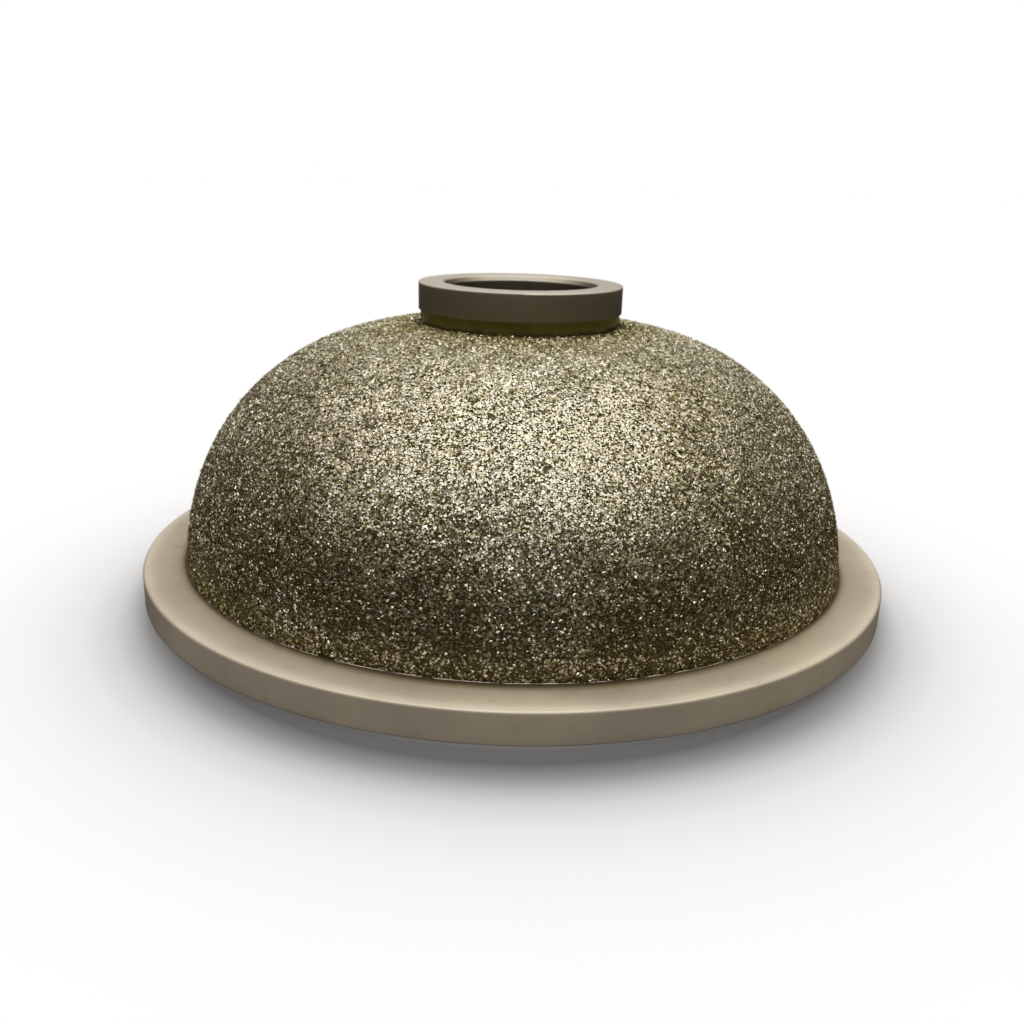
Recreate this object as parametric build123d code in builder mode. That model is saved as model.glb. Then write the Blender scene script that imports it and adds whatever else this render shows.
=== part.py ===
"""Convex diamond grinding wheel: a grit-coated dome on a flat flange, bored for a spindle.

All sizes are in millimetres. The origin is the centre of the flange's underside, and +Z is the
spin axis, towards the neck collar. The dome is hollow. A sleeve on the axis carries the clamping
force from the collar to the rear hub, and a bolted plate closes the back against slurry.
"""

import os
from math import acos, asin, atan2, degrees, sqrt

from build123d import *

os.makedirs("parts", exist_ok=True)

# Spindle bore: seven eighths of an inch
BORE_RADIUS = 22.23 / 2
BORE_WALL = 1.135
SLEEVE_RADIUS = BORE_RADIUS + BORE_WALL

# Flange
FLANGE_RADIUS = 57.5
FLANGE_THICKNESS = 4.3
FLANGE_TOP_ROUND = 0.6
FLANGE_FOOT_ROUND = 0.35
FLANGE_OPENING_RADIUS = 34.0
REGISTER_RADIUS = 43.0
REGISTER_TOP = 7.5
SEAT_LIP = 0.25
COVE_WIDTH = 1.45
EDGE_BREAK = 0.3

# Dome, measured on the outside of the coat
COAT_RADIUS = 50.9
COAT_THICKNESS = 0.6
COVE_GAP = 0.05
SHOULDER_RADIUS = 34.5
CROWN_RISE = 36.8
WALL_THICKNESS = 4.0
RIM_HEIGHT = 8.0
SEAT_Z = FLANGE_THICKNESS + SEAT_LIP
CORE_DEPTH = COAT_THICKNESS
INSIDE_DEPTH = COAT_THICKNESS + WALL_THICKNESS

# The crown arc is tangent to the shoulder arc inside it, and its centre is on the axis
SHOULDER_X = COAT_RADIUS - SHOULDER_RADIUS
DOME_RISE = CROWN_RISE - SEAT_LIP
CROWN_RADIUS = (SHOULDER_X**2 + DOME_RISE**2 - SHOULDER_RADIUS**2) / (
    2 * (DOME_RISE - SHOULDER_RADIUS)
)
CROWN_Z = SEAT_Z + DOME_RISE - CROWN_RADIUS
JOIN_ANGLE = degrees(atan2(SEAT_Z - CROWN_Z, SHOULDER_X))

# Neck collar and the washer under its head
COLLAR_TOP = 45.6
HEAD_RADIUS = 15.5
HEAD_HEIGHT = 4.05
HEAD_ROUND = 0.2
MOUTH_CHAMFER = 0.8
LIP_HEIGHT = 2.5
SPIGOT_RADIUS = 13.5
SPIGOT_FOOT = 29.6
LAND_RADIUS = 15.35
WASHER_TOP_RADIUS = 15.25
WASHER_FOOT_RADIUS = 15.0
WASHER_TOP = COLLAR_TOP - HEAD_HEIGHT

# Ring nut that holds the collar from inside the dome
LOCK_RADIUS = 20.0
LOCK_HEIGHT = 5.0
LOCK_SEAT_Z = 35.6
LOCK_SEAT_RADIUS = 20.5
NOTCH_COUNT = 4
NOTCH_WIDTH = 4.0
NOTCH_DEPTH = 2.0
NOTCH_HEIGHT = 3.0
LOCK_SCREW_RADIUS = 1.5
LOCK_SCREW_LENGTH = 5.5

# Crown seal, an O-ring in a groove of the crown hole
SEAL_RADIUS = 0.54
SEAL_GROOVE_DEPTH = 1.1
SEAL_GROOVE_HEIGHT = 1.4
SEAL_Z = 37.5

# Back plate, its gasket and the rear hub
PLATE_RADIUS = 41.4
PLATE_POCKET_RADIUS = 41.5
PLATE_THICKNESS = 2.0
PLATE_HOLE_RADIUS = 17.95
GASKET_THICKNESS = 0.5
POCKET_TOP = PLATE_THICKNESS + GASKET_THICKNESS
HUB_FACE_RADIUS = 17.9
HUB_FLANGE_RADIUS = 24.5
HUB_FLANGE_THICKNESS = 3.5
HUB_BOSS_RADIUS = 16.0
HUB_BOSS_TOP = 14.0
HUB_CHAMFER = 0.5

# Countersunk screws: radius, head radius, length, circle radius and count
HEAD_RIM = 0.3
FLANGE_SCREW_RADIUS = 2.0
FLANGE_SCREW_HEAD = 3.7
FLANGE_SCREW_LENGTH = 10.5
FLANGE_SCREW_CIRCLE = 46.2
FLANGE_SCREW_COUNT = 8
SMALL_SCREW_RADIUS = 1.5
SMALL_SCREW_HEAD = 2.8
PLATE_SCREW_LENGTH = 7.0
PLATE_SCREW_CIRCLE = 37.5
PLATE_SCREW_COUNT = 6
HUB_SCREW_LENGTH = 5.5
HUB_SCREW_CIRCLE = 21.2
HUB_SCREW_COUNT = 6

# Dowel pins between flange and dome
DOWEL_RADIUS = 1.5
DOWEL_FOOT = 1.2
DOWEL_LENGTH = 8.0
DOWEL_COUNT = 2
DOWEL_ANGLE = 22.5


def dome_height(radius, depth):
    """Height at a radius on the crown arc, for the surface that lies depth below the coat's."""
    return CROWN_Z + sqrt((CROWN_RADIUS - depth) ** 2 - radius**2)


def crown_arc(depth, inner_radius):
    """The crown arc from its join with the shoulder up to inner_radius."""
    radius = CROWN_RADIUS - depth
    end_angle = degrees(acos(inner_radius / radius))
    CenterArc((0, CROWN_Z), radius, JOIN_ANGLE, end_angle - JOIN_ANGLE)


def shoulder_arc(depth, height):
    """The shoulder arc from a height above the seat up to its join with the crown."""
    radius = SHOULDER_RADIUS - depth
    start_angle = degrees(asin(height / radius))
    CenterArc((SHOULDER_X, SEAT_Z), radius, start_angle, JOIN_ANGLE - start_angle)


def shoulder_radius_at(depth, height):
    """Distance from the axis to the shoulder arc, at a height above the seat."""
    return SHOULDER_X + sqrt((SHOULDER_RADIUS - depth) ** 2 - height**2)


def ring(inner_radius, outer_radius, foot, top):
    """A plain ring about the spin axis, added to the part being built."""
    with BuildSketch(Plane.XY.offset(foot)) as section:
        Circle(outer_radius)
        Circle(inner_radius, mode=Mode.SUBTRACT)
    extrude(section.sketch, amount=top - foot)


def screw_blank(radius, head_radius, length):
    """A countersunk screw with no socket, head face down on the XY plane. It cuts its own hole."""
    with BuildPart() as blank:
        with BuildSketch(Plane.XZ):
            with BuildLine():
                Polyline(
                    (0, 0),
                    (head_radius, 0),
                    (head_radius, HEAD_RIM),
                    (radius, HEAD_RIM + head_radius - radius),
                    (radius, length),
                    (0, length),
                    close=True,
                )
            make_face()
        revolve(axis=Axis.Z)
    return blank.part


def socket_screw(blank, radius):
    """The same screw with a hexagon socket in its head."""
    with BuildPart() as screw:
        add(blank)
        with BuildSketch(Plane.XY):
            RegularPolygon(radius=0.72 * radius, side_count=6)
        extrude(amount=0.9 * radius, mode=Mode.SUBTRACT)
    return screw.part


def cut(blank, circle_radius, count):
    """Holes of the blank's shape on a circle about the spin axis."""
    with PolarLocations(circle_radius, count):
        add(blank, mode=Mode.SUBTRACT)


def cut_dowel_holes():
    """The dowels' holes, as long as the dowels."""
    with BuildSketch(Plane.XY.offset(DOWEL_FOOT)) as section:
        with PolarLocations(FLANGE_SCREW_CIRCLE, DOWEL_COUNT, start_angle=DOWEL_ANGLE):
            Circle(DOWEL_RADIUS)
    extrude(section.sketch, amount=DOWEL_LENGTH, mode=Mode.SUBTRACT)


flange_blank = screw_blank(FLANGE_SCREW_RADIUS, FLANGE_SCREW_HEAD, FLANGE_SCREW_LENGTH)
plate_blank = screw_blank(SMALL_SCREW_RADIUS, SMALL_SCREW_HEAD, PLATE_SCREW_LENGTH)
hub_blank = screw_blank(SMALL_SCREW_RADIUS, SMALL_SCREW_HEAD, HUB_SCREW_LENGTH)


def make_base_flange():
    """Flat rim with a cove up to the dome's seat, a register inside it and the plate's pocket."""
    cove_radius = (COVE_WIDTH**2 + SEAT_LIP**2) / (2 * SEAT_LIP)
    cove_angle = degrees(asin(COVE_WIDTH / cove_radius))
    lip_radius = COAT_RADIUS + COVE_GAP
    cove_edge = lip_radius + COVE_WIDTH
    with BuildPart() as base_flange:
        with BuildSketch(Plane.XZ):
            with BuildLine():
                CenterArc(
                    (cove_edge, FLANGE_THICKNESS + cove_radius),
                    cove_radius,
                    270 - cove_angle,
                    cove_angle,
                )
                Polyline(
                    (cove_edge, FLANGE_THICKNESS),
                    (FLANGE_RADIUS, FLANGE_THICKNESS),
                    (FLANGE_RADIUS, 0),
                    (PLATE_POCKET_RADIUS, 0),
                    (PLATE_POCKET_RADIUS, POCKET_TOP),
                    (FLANGE_OPENING_RADIUS, POCKET_TOP),
                    (FLANGE_OPENING_RADIUS, REGISTER_TOP),
                    (REGISTER_RADIUS, REGISTER_TOP),
                    (REGISTER_RADIUS, SEAT_Z),
                    (lip_radius, SEAT_Z),
                )
            make_face()
        revolve(axis=Axis.Z)
        outer_edges = base_flange.edges().filter_by(
            lambda e: e.geom_type == GeomType.CIRCLE and abs(e.radius - FLANGE_RADIUS) < 0.01
        )
        fillet(outer_edges.sort_by(Axis.Z)[-1], FLANGE_TOP_ROUND)
        foot_edges = base_flange.edges().filter_by(
            lambda e: e.geom_type == GeomType.CIRCLE and abs(e.radius - FLANGE_RADIUS) < 0.01
        )
        fillet(foot_edges.sort_by(Axis.Z)[0], FLANGE_FOOT_ROUND)
        cut(flange_blank, FLANGE_SCREW_CIRCLE, FLANGE_SCREW_COUNT)
        cut(plate_blank, PLATE_SCREW_CIRCLE, PLATE_SCREW_COUNT)
        cut_dowel_holes()
    base_flange.part.label = "base_flange"
    export_step(base_flange.part, "parts/base_flange.step")


def make_dome_core():
    """Turned dome shell with a thick threaded rim, a flat land on top and the crown hole."""
    land_z = dome_height(LAND_RADIUS, CORE_DEPTH)
    with BuildPart() as dome_core:
        with BuildSketch(Plane.XZ):
            with BuildLine():
                shoulder_arc(CORE_DEPTH, 0)
                crown_arc(CORE_DEPTH, LAND_RADIUS)
                Polyline(
                    (LAND_RADIUS, land_z),
                    (SPIGOT_RADIUS, land_z),
                    (SPIGOT_RADIUS, LOCK_SEAT_Z),
                    (LOCK_SEAT_RADIUS, LOCK_SEAT_Z),
                    (LOCK_SEAT_RADIUS, dome_height(LOCK_SEAT_RADIUS, INSIDE_DEPTH)),
                )
                crown_arc(INSIDE_DEPTH, LOCK_SEAT_RADIUS)
                shoulder_arc(INSIDE_DEPTH, RIM_HEIGHT)
                Polyline(
                    (shoulder_radius_at(INSIDE_DEPTH, RIM_HEIGHT), SEAT_Z + RIM_HEIGHT),
                    (REGISTER_RADIUS, SEAT_Z + RIM_HEIGHT),
                    (REGISTER_RADIUS, SEAT_Z),
                    (COAT_RADIUS - CORE_DEPTH, SEAT_Z),
                )
            make_face()
        revolve(axis=Axis.Z)
        with BuildSketch(Plane.XY.offset(SEAL_Z - SEAL_GROOVE_HEIGHT / 2)):
            Circle(SPIGOT_RADIUS + SEAL_GROOVE_DEPTH)
        extrude(amount=SEAL_GROOVE_HEIGHT, mode=Mode.SUBTRACT)
        cut(flange_blank, FLANGE_SCREW_CIRCLE, FLANGE_SCREW_COUNT)
        cut_dowel_holes()
    dome_core.part.label = "dome_core"
    export_step(dome_core.part, "parts/dome_core.step")


def make_diamond_layer():
    """Plated diamond coat over the whole dome, from the flange's seat to the washer's land."""
    with BuildPart() as diamond_layer:
        with BuildSketch(Plane.XZ):
            with BuildLine():
                shoulder_arc(0, 0)
                crown_arc(0, LAND_RADIUS)
                shoulder_arc(COAT_THICKNESS, 0)
                crown_arc(COAT_THICKNESS, LAND_RADIUS)
                Line((COAT_RADIUS - COAT_THICKNESS, SEAT_Z), (COAT_RADIUS, SEAT_Z))
                Line(
                    (LAND_RADIUS, dome_height(LAND_RADIUS, COAT_THICKNESS)),
                    (LAND_RADIUS, dome_height(LAND_RADIUS, 0)),
                )
            make_face()
        revolve(axis=Axis.Z)
    diamond_layer.part.label = "diamond_layer"
    export_step(diamond_layer.part, "parts/diamond_layer.step")


def make_neck_collar():
    """Flanged bush: a head above the dome, and a spigot through the crown to the ring nut."""
    with BuildPart() as neck_collar:
        with BuildSketch(Plane.XZ):
            with BuildLine():
                Polyline(
                    (SPIGOT_RADIUS, SPIGOT_FOOT),
                    (SPIGOT_RADIUS, WASHER_TOP),
                    (HEAD_RADIUS, WASHER_TOP),
                    (HEAD_RADIUS, COLLAR_TOP),
                    (BORE_RADIUS + MOUTH_CHAMFER, COLLAR_TOP),
                    (BORE_RADIUS, COLLAR_TOP - MOUTH_CHAMFER),
                    (BORE_RADIUS, COLLAR_TOP - LIP_HEIGHT),
                    (SLEEVE_RADIUS, COLLAR_TOP - LIP_HEIGHT),
                    (SLEEVE_RADIUS, SPIGOT_FOOT),
                    close=True,
                )
            make_face()
        revolve(axis=Axis.Z)
        rims = neck_collar.edges().filter_by(
            lambda e: e.geom_type == GeomType.CIRCLE and abs(e.radius - HEAD_RADIUS) < 0.01
        )
        fillet(rims.sort_by(Axis.Z)[-1], HEAD_ROUND)
    neck_collar.part.label = "neck_collar"
    export_step(neck_collar.part, "parts/neck_collar.step")


def make_collar_washer():
    """Slightly tapered washer between the collar's head and the dome's land."""
    land_z = dome_height(LAND_RADIUS, CORE_DEPTH)
    with BuildPart() as collar_washer:
        with BuildSketch(Plane.XZ):
            with BuildLine():
                Polyline(
                    (SPIGOT_RADIUS, land_z),
                    (WASHER_FOOT_RADIUS, land_z),
                    (WASHER_TOP_RADIUS, WASHER_TOP),
                    (SPIGOT_RADIUS, WASHER_TOP),
                    close=True,
                )
            make_face()
        revolve(axis=Axis.Z)
    collar_washer.part.label = "collar_washer"
    export_step(collar_washer.part, "parts/collar_washer.step")


def make_crown_seal():
    """O-ring round the collar's spigot."""
    with BuildPart() as crown_seal:
        with BuildSketch(Plane.XZ):
            with Locations((SPIGOT_RADIUS + SEAL_GROOVE_DEPTH / 2, SEAL_Z)):
                Circle(SEAL_RADIUS)
        revolve(axis=Axis.Z)
    crown_seal.part.label = "crown_seal"
    export_step(crown_seal.part, "parts/crown_seal.step")


def make_lock_ring():
    """Ring nut with spanner notches, and a radial hole for its grub screw."""
    foot = LOCK_SEAT_Z - LOCK_HEIGHT
    with BuildPart() as lock_ring:
        ring(SPIGOT_RADIUS, LOCK_RADIUS, foot, LOCK_SEAT_Z)
        with BuildSketch(Plane.XY.offset(foot)):
            with PolarLocations(LOCK_RADIUS, NOTCH_COUNT, start_angle=45):
                Rectangle(2 * NOTCH_DEPTH, NOTCH_WIDTH)
        extrude(amount=NOTCH_HEIGHT, mode=Mode.SUBTRACT)
        with BuildSketch(Plane.YZ.offset(SPIGOT_RADIUS - 1)):
            with Locations((0, foot + LOCK_HEIGHT / 2)):
                Circle(LOCK_SCREW_RADIUS)
        extrude(amount=LOCK_RADIUS - SPIGOT_RADIUS + 2, mode=Mode.SUBTRACT)
    lock_ring.part.label = "lock_ring"
    export_step(lock_ring.part, "parts/lock_ring.step")


def make_lock_screw():
    """Grub screw that stops the ring nut from turning."""
    height = LOCK_SEAT_Z - LOCK_HEIGHT / 2
    with BuildPart() as lock_screw:
        with BuildSketch(Plane.YZ.offset(SPIGOT_RADIUS)):
            with Locations((0, height)):
                Circle(LOCK_SCREW_RADIUS)
        extrude(amount=LOCK_SCREW_LENGTH)
        with BuildSketch(Plane.YZ.offset(SPIGOT_RADIUS + LOCK_SCREW_LENGTH)):
            with Locations((0, height)):
                RegularPolygon(radius=0.55 * LOCK_SCREW_RADIUS, side_count=6)
        extrude(amount=-LOCK_SCREW_RADIUS, mode=Mode.SUBTRACT)
    lock_screw.part.label = "lock_screw"
    export_step(lock_screw.part, "parts/lock_screw.step")


def make_bore_sleeve():
    """Tube between the lips of the collar and the rear hub: the wall of the spindle bore."""
    with BuildPart() as bore_sleeve:
        ring(BORE_RADIUS, SLEEVE_RADIUS, LIP_HEIGHT, COLLAR_TOP - LIP_HEIGHT)
    bore_sleeve.part.label = "bore_sleeve"
    export_step(bore_sleeve.part, "parts/bore_sleeve.step")


def make_rear_hub():
    """Flanged bush that holds the sleeve's lower end and gives the rear clamping face."""
    with BuildPart() as rear_hub:
        with BuildSketch(Plane.XZ):
            with BuildLine():
                Polyline(
                    (BORE_RADIUS + HUB_CHAMFER, 0),
                    (HUB_FACE_RADIUS, 0),
                    (HUB_FACE_RADIUS, POCKET_TOP),
                    (HUB_FLANGE_RADIUS, POCKET_TOP),
                    (HUB_FLANGE_RADIUS, POCKET_TOP + HUB_FLANGE_THICKNESS),
                    (HUB_BOSS_RADIUS, POCKET_TOP + HUB_FLANGE_THICKNESS),
                    (HUB_BOSS_RADIUS, HUB_BOSS_TOP),
                    (SLEEVE_RADIUS, HUB_BOSS_TOP),
                    (SLEEVE_RADIUS, LIP_HEIGHT),
                    (BORE_RADIUS, LIP_HEIGHT),
                    (BORE_RADIUS, HUB_CHAMFER),
                    close=True,
                )
            make_face()
        revolve(axis=Axis.Z)
        cut(hub_blank, HUB_SCREW_CIRCLE, HUB_SCREW_COUNT)
    rear_hub.part.label = "rear_hub"
    export_step(rear_hub.part, "parts/rear_hub.step")


def make_back_plate():
    """Disc that closes the dome, flush with the flange's underside."""
    with BuildPart() as back_plate:
        ring(PLATE_HOLE_RADIUS, PLATE_RADIUS, 0, PLATE_THICKNESS)
        foot_edges = back_plate.edges().group_by(Axis.Z)[0]
        chamfer(foot_edges, EDGE_BREAK)
        cut(plate_blank, PLATE_SCREW_CIRCLE, PLATE_SCREW_COUNT)
        cut(hub_blank, HUB_SCREW_CIRCLE, HUB_SCREW_COUNT)
    back_plate.part.label = "back_plate"
    export_step(back_plate.part, "parts/back_plate.step")


def make_gaskets():
    """Flat gaskets: under the flange's ledge, and under the rear hub's flange."""
    with BuildPart() as plate_gasket:
        ring(FLANGE_OPENING_RADIUS, PLATE_RADIUS, PLATE_THICKNESS, POCKET_TOP)
        cut(plate_blank, PLATE_SCREW_CIRCLE, PLATE_SCREW_COUNT)
    plate_gasket.part.label = "plate_gasket"
    export_step(plate_gasket.part, "parts/plate_gasket.step")

    with BuildPart() as hub_gasket:
        ring(PLATE_HOLE_RADIUS, HUB_FLANGE_RADIUS, PLATE_THICKNESS, POCKET_TOP)
        cut(hub_blank, HUB_SCREW_CIRCLE, HUB_SCREW_COUNT)
    hub_gasket.part.label = "hub_gasket"
    export_step(hub_gasket.part, "parts/hub_gasket.step")


def make_screws():
    """Countersunk screws in three circles, each circle one group of separate solids."""
    groups = (
        ("flange_screws", flange_blank, FLANGE_SCREW_HEAD, FLANGE_SCREW_CIRCLE, FLANGE_SCREW_COUNT),
        ("plate_screws", plate_blank, SMALL_SCREW_HEAD, PLATE_SCREW_CIRCLE, PLATE_SCREW_COUNT),
        ("hub_screws", hub_blank, SMALL_SCREW_HEAD, HUB_SCREW_CIRCLE, HUB_SCREW_COUNT),
    )
    for label, blank, head_radius, circle_radius, count in groups:
        screw = socket_screw(blank, 0.75 * head_radius)
        with BuildPart() as screws:
            with PolarLocations(circle_radius, count):
                add(screw)
        screws.part.label = label
        export_step(screws.part, f"parts/{label}.step")


def make_dowel_pins():
    """Two pins that fix the dome's angle on the flange."""
    with BuildPart() as dowel_pins:
        with BuildSketch(Plane.XY.offset(DOWEL_FOOT)):
            with PolarLocations(FLANGE_SCREW_CIRCLE, DOWEL_COUNT, start_angle=DOWEL_ANGLE):
                Circle(DOWEL_RADIUS)
        extrude(amount=DOWEL_LENGTH)
        chamfer(dowel_pins.edges().filter_by(GeomType.CIRCLE), EDGE_BREAK)
    dowel_pins.part.label = "dowel_pins"
    export_step(dowel_pins.part, "parts/dowel_pins.step")


make_base_flange()
make_dome_core()
make_diamond_layer()
make_neck_collar()
make_collar_washer()
make_crown_seal()
make_lock_ring()
make_lock_screw()
make_bore_sleeve()
make_rear_hub()
make_back_plate()
make_gaskets()
make_screws()
make_dowel_pins()
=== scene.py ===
"""Looks of the diamond grinding wheel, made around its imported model.

The plated grit is made of real crystals on a lumpy nickel bond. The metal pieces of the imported
model keep their shapes and get their finishes here. All sizes are in metres unless a name says
otherwise.
"""

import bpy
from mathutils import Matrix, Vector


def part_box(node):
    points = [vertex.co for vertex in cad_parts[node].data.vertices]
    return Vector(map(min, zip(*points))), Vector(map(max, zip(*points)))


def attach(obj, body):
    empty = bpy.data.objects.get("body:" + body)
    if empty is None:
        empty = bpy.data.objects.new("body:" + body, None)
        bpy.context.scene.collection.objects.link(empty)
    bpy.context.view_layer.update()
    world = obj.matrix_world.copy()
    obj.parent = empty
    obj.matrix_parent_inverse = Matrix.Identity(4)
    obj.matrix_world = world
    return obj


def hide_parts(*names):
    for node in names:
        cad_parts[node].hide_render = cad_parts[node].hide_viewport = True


bl_info = {
    "name": "Diamond Grinding Wheel",
    "version": (1, 0, 0),
    "blender": (4, 5, 0),
    "location": "3D View > Sidebar > Grinding Wheel",
    "description": "Makes the grit, the metal finishes and the studio of a domed grinding wheel",
    "category": "Mesh",
}

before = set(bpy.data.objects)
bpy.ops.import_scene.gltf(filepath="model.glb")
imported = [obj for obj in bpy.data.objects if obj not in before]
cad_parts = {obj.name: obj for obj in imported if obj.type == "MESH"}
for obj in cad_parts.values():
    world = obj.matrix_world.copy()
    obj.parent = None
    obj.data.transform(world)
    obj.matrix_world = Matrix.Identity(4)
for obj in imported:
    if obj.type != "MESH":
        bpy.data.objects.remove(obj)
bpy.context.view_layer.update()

import itertools
import math

import bpy
import numpy as np
from bpy.props import FloatProperty, FloatVectorProperty, IntProperty, PointerProperty
from mathutils import Quaternion, Vector

COAT_LOW, COAT_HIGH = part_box("diamond_layer")
WASHER_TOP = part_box("collar_washer")[1][2]
COLLAR_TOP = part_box("neck_collar")[1][2]
FLANGE_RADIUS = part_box("base_flange")[1][0]
MM = 0.001
TAU = 2 * math.pi

# The coat is thicker towards its foot and thinner towards the collar.
FOOT_SWELL = 0.18 * MM
FOOT_REACH = 12 * MM
COLLAR_THINNING = 0.30 * MM
COLLAR_REACH = 9 * MM
DEEPEST = 0.56 * MM

# The coat's bond ends this far short of the collar.
BOND_GAP = 0.05 * MM

# Points of the flange's half section, in its cove and round its foot.
COVE_POINTS = 14
FOOT_POINTS = 7

# Order of the grit's finishes in each piece's material slots.
DARK, OLIVE, CHAMPAGNE, NICKEL, SPARK = range(5)
GRAZING_TINT = (0.34, 0.33, 0.06)


# Settings


class WheelShape(bpy.types.PropertyGroup):
    """The dome's curve: a shoulder arc from the flange's seat, then a flatter crown arc."""

    coat_radius: FloatProperty(
        name="Coat radius",
        description="Radius of the dome over the coat, at its foot",
        default=float(COAT_HIGH[0]),
        unit="LENGTH",
    )
    seat_height: FloatProperty(
        name="Seat height",
        description="Height of the coat's lower edge above the flange's underside",
        default=float(COAT_LOW[2]),
        unit="LENGTH",
    )
    shoulder_radius: FloatProperty(
        name="Shoulder radius",
        description="Radius of the arc that rises from the foot",
        default=34.5 * MM,
        unit="LENGTH",
    )
    crown_rise: FloatProperty(
        name="Crown rise",
        description="Height of the crown arc's top above the seat",
        default=36.55 * MM,
        unit="LENGTH",
    )
    land_radius: FloatProperty(
        name="Land radius",
        description="Radius at which the coat ends round the collar",
        default=15.35 * MM,
        unit="LENGTH",
    )
    coat_thickness: FloatProperty(
        name="Coat thickness",
        description="Thickness of the bond with its grit",
        default=0.6 * MM,
        unit="LENGTH",
    )


class GritSettings(bpy.types.PropertyGroup):
    """Size and spread of the diamond crystals."""

    pitch: FloatProperty(
        name="Pitch",
        description="Mean distance between neighbouring crystals",
        default=0.31 * MM,
        unit="LENGTH",
    )
    crystal_radius: FloatProperty(
        name="Crystal radius",
        description="Mean radius of a crystal at its buried base",
        default=0.176 * MM,
        unit="LENGTH",
    )
    proud: FloatProperty(
        name="Proud height",
        description="How far a crystal's top stands above the coat's nominal surface",
        default=0.08 * MM,
        unit="LENGTH",
    )
    bond_depth: FloatProperty(
        name="Bond depth",
        description="How far the bond lies under the coat's nominal surface",
        default=0.06 * MM,
        unit="LENGTH",
    )
    tilt: FloatProperty(
        name="Tilt",
        description="Spread of the angle between a crystal's top facet and the dome",
        default=math.radians(8),
        subtype="ANGLE",
    )
    missing: FloatProperty(
        name="Missing share",
        description="Share of the crystals that are left out",
        default=0.05,
        min=0,
        max=0.5,
        subtype="FACTOR",
    )
    seed: IntProperty(
        name="Seed",
        description="Seed of the random draws",
        default=11,
    )


class FinishColours(bpy.types.PropertyGroup):
    """Base colours of the finishes."""

    flange: FloatVectorProperty(
        name="Flange nickel",
        description="Satin champagne nickel of the flange",
        default=(0.85, 0.75, 0.585),
        subtype="COLOR",
        size=3,
    )
    collar: FloatVectorProperty(
        name="Collar nickel",
        description="Satin nickel of the collar",
        default=(0.88, 0.79, 0.58),
        subtype="COLOR",
        size=3,
    )
    bond: FloatVectorProperty(
        name="Bond",
        description="Dull olive nickel bond between the crystals",
        default=(0.165, 0.141, 0.056),
        subtype="COLOR",
        size=3,
    )
    crystal: FloatVectorProperty(
        name="Crystal",
        description="Pale nickel-coated crystal",
        default=(0.83, 0.79, 0.645),
        subtype="COLOR",
        size=3,
    )


class StudioSettings(bpy.types.PropertyGroup):
    """Camera and light."""

    distance: FloatProperty(
        name="Distance",
        description="From the camera to the point it looks at",
        default=166.04 * MM,
        unit="LENGTH",
    )
    elevation: FloatProperty(
        name="Elevation",
        description="Camera's angle above the horizontal",
        default=math.radians(18.118),
        subtype="ANGLE",
    )
    roll: FloatProperty(
        name="Roll",
        description="Camera's turn about its own axis",
        default=math.radians(1.674),
        subtype="ANGLE",
    )
    aim_height: FloatProperty(
        name="Aim height",
        description="Height of the point that the camera looks at",
        default=8.827 * MM,
        unit="LENGTH",
    )
    lens: FloatProperty(
        name="Lens",
        description="Focal length in millimetres",
        default=35.756,
    )


SETTINGS = {
    "wheel_shape": WheelShape,
    "wheel_grit": GritSettings,
    "wheel_finish": FinishColours,
    "wheel_studio": StudioSettings,
}


# Shapes


class DomeCurve:
    """Half section of the dome, walked by the length from the foot along the coat's surface."""

    def __init__(self, shape):
        shoulder = shape.shoulder_radius
        self.seat = shape.seat_height
        self.shoulder = shoulder
        self.shoulder_x = shape.coat_radius - shoulder
        rise = shape.crown_rise
        self.crown = (self.shoulder_x**2 + rise**2 - shoulder**2) / (2 * (rise - shoulder))
        self.crown_z = self.seat + rise - self.crown
        self.join = math.atan2(self.seat - self.crown_z, self.shoulder_x)
        self.join_length = shoulder * self.join
        top_angle = math.acos(shape.land_radius / self.crown)
        self.length = self.join_length + self.crown * (top_angle - self.join)

    def at(self, walked, depth):
        """Radius, height and normal angle at the walked length, depth below the surface.

        On the shoulder the angle is length over radius about the shoulder's centre. Past the
        join it is the join's angle plus the rest over the crown's radius, about the crown's
        centre on the axis. The coat is thicker near its foot, by the foot's swell times the
        square of the share of its reach that is left. Near the collar it is thinner in the same
        way, but that pushes nothing below the deepest bond.
        """
        beside_foot = np.clip(1 - walked / FOOT_REACH, 0, 1)
        beside_collar = np.clip(1 - (self.length - walked) / COLLAR_REACH, 0, 1)
        depth = depth - FOOT_SWELL * beside_foot**2
        thinned = depth + COLLAR_THINNING * beside_collar**2
        depth = np.minimum(thinned, np.maximum(depth, DEEPEST))
        on_crown = walked > self.join_length
        past = (walked - self.join_length) / self.crown
        angle = np.where(on_crown, self.join + past, walked / self.shoulder)
        arc = np.where(on_crown, self.crown, self.shoulder) - depth
        radius = np.where(on_crown, 0, self.shoulder_x) + arc * np.cos(angle)
        height = np.where(on_crown, self.crown_z, self.seat) + arc * np.sin(angle)
        return radius, height, angle


def round_points(radius, height, turn):
    """Points at a radius, a height and an angle about the spin axis."""
    return np.stack([radius * np.cos(turn), radius * np.sin(turn), height + 0 * turn], axis=-1)


def lumps(points, size, seed):
    """Smooth noise from -1 to 1.

    Random values sit on the corners of a cubic lattice of the given size. Between them the value
    is blended along each axis by the smoothstep 3t^2 - 2t^3 of the place in the cell.
    """
    period = 64
    values = np.random.default_rng(seed).uniform(-1, 1, (period, period, period))
    scaled = points / size
    cell = np.floor(scaled).astype(int)
    place = scaled - cell
    place = place * place * (3 - 2 * place)
    total = np.zeros(points.shape[:-1])
    for corner in itertools.product((0, 1), repeat=3):
        weight = np.prod(np.where(corner, place, 1 - place), axis=-1)
        index = (cell + corner) % period
        total += weight * values[index[..., 0], index[..., 1], index[..., 2]]
    return total


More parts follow.
